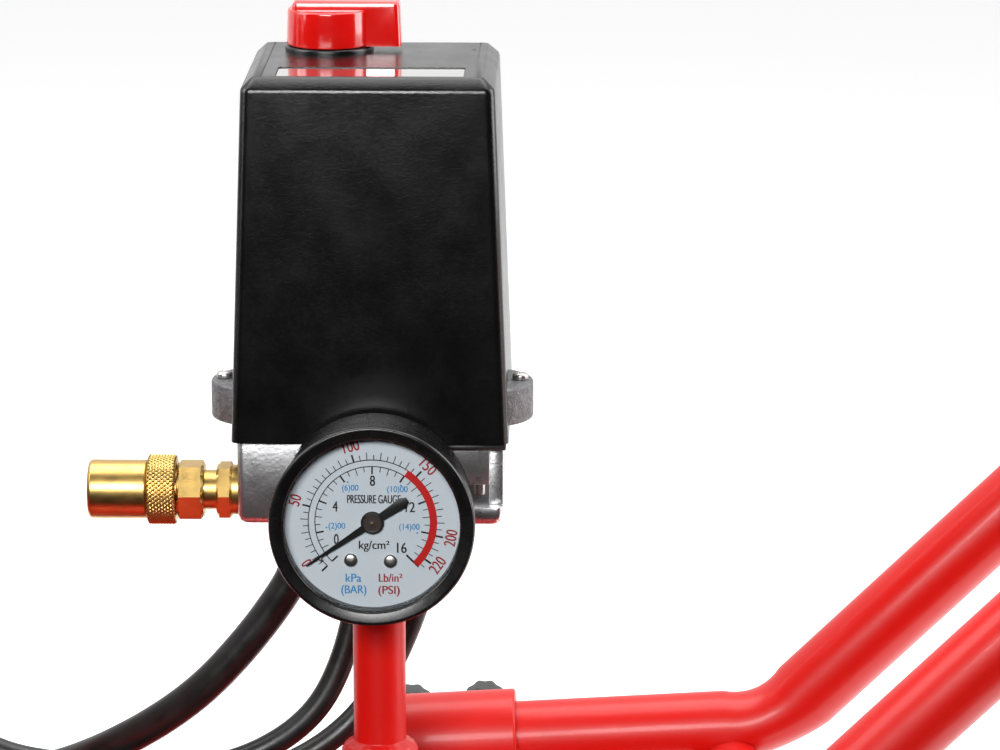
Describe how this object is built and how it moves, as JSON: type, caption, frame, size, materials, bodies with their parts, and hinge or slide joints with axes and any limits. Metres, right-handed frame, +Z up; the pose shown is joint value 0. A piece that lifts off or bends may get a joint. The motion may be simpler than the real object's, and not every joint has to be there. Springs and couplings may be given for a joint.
{
  "type": "air compressor",
  "caption": "Portable belt-driven workshop air compressor: receiver on wheels, pump and motor on a deck, riser with pressure switch, gauge and safety valve, and a tow handle.",
  "frame": {"origin": "on the floor, under the middle of the machine's length and width", "axes": "+X along the receiver towards the tow handle, +Y across it towards the belt guard, +Z up"},
  "size_m": [0.9714, 0.5961, 0.664],
  "materials": {
    "red_paint": "semi-gloss powder coat",
    "black_paint": "satin black paint",
    "switch_plastic": "fine spark-eroded texture",
    "red_plastic": "glossy moulding",
    "die_cast": "as-cast zinc and aluminium alloy, mottled",
    "grey_cast": "grey textured die casting",
    "brass": "turned and tumbled",
    "plated_steel": "bright nickel or zinc plating",
    "cast_iron": "grey iron, painted dark",
    "aluminium": "sand-cast and blasted",
    "rotor_steel": "ground shaft and stacked laminations",
    "rubber": "moulded rubber",
    "tyre_rubber": "solid rubber tyre",
    "wheel_plastic": "moulded rim",
    "gauge_black": "satin black",
    "gauge_dial": "printed white dial",
    "gauge_lens": "clear flat lens",
    "pointer_black": "black pointer",
    "knob_black": "moulded knob",
    "cord_rubber": "rubber sheath"
  },
  "bodies": {
    "frame": {"tank_shell": "red_paint", "support_brackets": "red_paint", "riser_pipe": "red_paint", "handle_sleeves": "red_paint", "pump_deck": "red_paint", "guard_back": "black_paint", "guard_cover": "black_paint", "fan_cowl": "black_paint", "intake_filter": "black_paint", "switch_cover": "switch_plastic", "switch_manifold": "die_cast", "switch_base": "grey_cast", "safety_valve": "brass", "check_valve": "brass", "drain_valve": "brass", "outlet_valve": "brass", "gauge_movement": "brass", "cover_screws": "plated_steel", "head_bolts": "plated_steel", "wheel_axles": "plated_steel", "unloader_valve": "plated_steel", "cylinder": "cast_iron", "crankcase": "cast_iron", "cylinder_head": "aluminium", "piston": "aluminium", "motor_frame": "aluminium", "discharge_pipe": "aluminium", "foot_pads": "rubber", "drive_belt": "rubber", "gauge_bezel": "gauge_black", "gauge_case": "gauge_black", "gauge_dial": "gauge_dial", "gauge_lens": "gauge_lens", "cable_glands": "knob_black", "contact_block": "knob_black", "terminal_box": "knob_black", "mains_plug": "knob_black", "mains_lead": "cord_rubber", "mains_coil": "cord_rubber", "motor_lead": "cord_rubber", "unloader_hose": "cord_rubber"},
    "crank": {"crankshaft": "plated_steel", "flywheel": "cast_iron"},
    "motor": {"motor_rotor": "rotor_steel", "motor_pulley": "cast_iron"},
    "wheel_front": {"wheel_rim_front": "wheel_plastic", "tyre_front": "tyre_rubber"},
    "wheel_rear": {"wheel_rim_rear": "wheel_plastic", "tyre_rear": "tyre_rubber"},
    "handle": {"handle_tube": "red_paint", "handle_grip": "rubber"},
    "selector": {"selector_knob": "red_plastic"},
    "pointer": {"gauge_pointer": "pointer_black"},
    "relief_ring": {"safety_valve_ring": "brass"},
    "outlet_handle": {"outlet_lever": "knob_black"},
    "drain_handle": {"drain_knob": "knob_black"},
    "clamp_front_1": {"clamp_screw_front_1": "knob_black"},
    "clamp_front_2": {"clamp_screw_front_2": "knob_black"},
    "clamp_rear_1": {"clamp_screw_rear_1": "knob_black"},
    "clamp_rear_2": {"clamp_screw_rear_2": "knob_black"}
  },
  "joints": [
    {"name": "crank_spin", "type": "hinge", "parent": "frame", "child": "crank", "pos_m": [-0.30075, 0.14, 0.482], "axis": [0, 1, 0], "continuous": true},
    {"name": "motor_spin", "type": "hinge", "parent": "frame", "child": "motor", "pos_m": [-0.11075, 0.14, 0.482], "axis": [0, 1, 0], "continuous": true},
    {"name": "wheel_front_spin", "type": "hinge", "parent": "frame", "child": "wheel_front", "pos_m": [-0.38575, -0.188, 0.1], "axis": [0, 1, 0], "continuous": true},
    {"name": "wheel_rear_spin", "type": "hinge", "parent": "frame", "child": "wheel_rear", "pos_m": [-0.38575, 0.188, 0.1], "axis": [0, 1, 0], "continuous": true},
    {"name": "handle_slide", "type": "slide", "parent": "frame", "child": "handle", "axis": [0.9982, 0, 0.06], "range_m": [-0.03, 0.018]},
    {"name": "selector_turn", "type": "hinge", "parent": "frame", "child": "selector", "pos_m": [0.15225, 0.0425, 0.6091], "axis": [0, 0, 1], "range_deg": [-90, 0]},
    {"name": "pointer_sweep", "type": "hinge", "parent": "frame", "child": "pointer", "pos_m": [0.16925, -0.0385, 0.472], "axis": [0, 1, 0], "range_deg": [-10.7, 259.3]},
    {"name": "relief_turn", "type": "hinge", "parent": "frame", "child": "relief_ring", "pos_m": [0.09995, 0, 0.472], "axis": [1, 0, 0], "range_deg": [0, 270]},
    {"name": "outlet_turn", "type": "hinge", "parent": "frame", "child": "outlet_handle", "pos_m": [0.31625, 0, 0.222], "axis": [0, 0, 1], "range_deg": [0, 90]},
    {"name": "drain_turn", "type": "hinge", "parent": "frame", "child": "drain_handle", "pos_m": [-0.08075, 0, 0.038], "axis": [0, 0, 1], "range_deg": [0, 360]},
    {"name": "clamp_front_1_turn", "type": "hinge", "parent": "frame", "child": "clamp_front_1", "pos_m": [0.17565, -0.095, 0.36708], "axis": [0, 1, 0], "range_deg": [0, 360]},
    {"name": "clamp_front_2_turn", "type": "hinge", "parent": "frame", "child": "clamp_front_2", "pos_m": [0.20105, -0.095, 0.36861], "axis": [0, 1, 0], "range_deg": [0, 360]},
    {"name": "clamp_rear_1_turn", "type": "hinge", "parent": "frame", "child": "clamp_rear_1", "pos_m": [0.17565, 0.095, 0.36708], "axis": [0, 1, 0], "range_deg": [-360, 0]},
    {"name": "clamp_rear_2_turn", "type": "hinge", "parent": "frame", "child": "clamp_rear_2", "pos_m": [0.20105, 0.095, 0.36861], "axis": [0, 1, 0], "range_deg": [-360, 0]}
  ],
  "couplings": [
    {"joint": "motor_spin", "follows": "crank_spin", "ratio": 3.1765}
  ]
}
